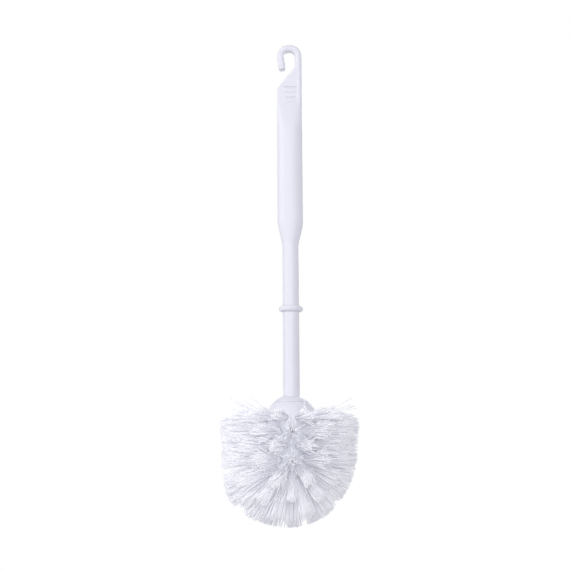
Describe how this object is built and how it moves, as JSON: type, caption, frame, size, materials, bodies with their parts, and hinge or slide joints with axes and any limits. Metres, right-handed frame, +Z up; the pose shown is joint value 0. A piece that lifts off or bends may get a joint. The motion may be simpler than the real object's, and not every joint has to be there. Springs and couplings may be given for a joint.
{
  "type": "toilet brush",
  "caption": "Toilet brush with an open hanging hook, an oval ribbed grip, a stop ring on the round shaft and a screw-on domed head of flared bristle tufts.",
  "frame": {"origin": "centre of the eye of the hanging hook", "axes": "+Z up along the shaft, away from the head; +Y through the hook's eye from front to back; the thumb ribs face -Y and the hook's mouth opens to -X"},
  "size_m": [0.1048, 0.1048, 0.3737],
  "materials": {
    "handle_plastic": "satin",
    "ring_plastic": "satin",
    "core_plastic": "satin",
    "collar_plastic": "satin",
    "bristle": "satin",
    "anchor_wire": "satin"
  },
  "bodies": {
    "handle": {"handle": "handle_plastic", "stop_ring": "ring_plastic"},
    "neck_collar": {"neck_collar": "collar_plastic"},
    "head": {"head_core": "core_plastic", "tuft_row_1": "bristle", "tuft_row_2": "bristle", "tuft_row_3": "bristle", "tuft_row_4": "bristle", "tuft_row_5": "bristle", "tuft_row_6": "bristle", "tuft_row_7": "bristle", "tuft_row_8": "bristle", "anchor_row_1": "anchor_wire", "anchor_row_2": "anchor_wire", "anchor_row_3": "anchor_wire", "anchor_row_4": "anchor_wire", "anchor_row_5": "anchor_wire", "anchor_row_6": "anchor_wire", "anchor_row_7": "anchor_wire", "anchor_row_8": "anchor_wire"}
  },
  "joints": [
    {"name": "head_travel", "type": "slide", "parent": "handle", "child": "neck_collar", "axis": [0, 0, -1], "range_m": [0, 0.014]},
    {"name": "head_turn", "type": "hinge", "parent": "neck_collar", "child": "head", "pos_m": [0, 0, -0.2712], "axis": [0, 0, -1], "range_deg": [0, 1260]}
  ],
  "couplings": [
    {"joint": "head_travel", "follows": "head_turn", "m_per_rad": 0.00063662}
  ]
}
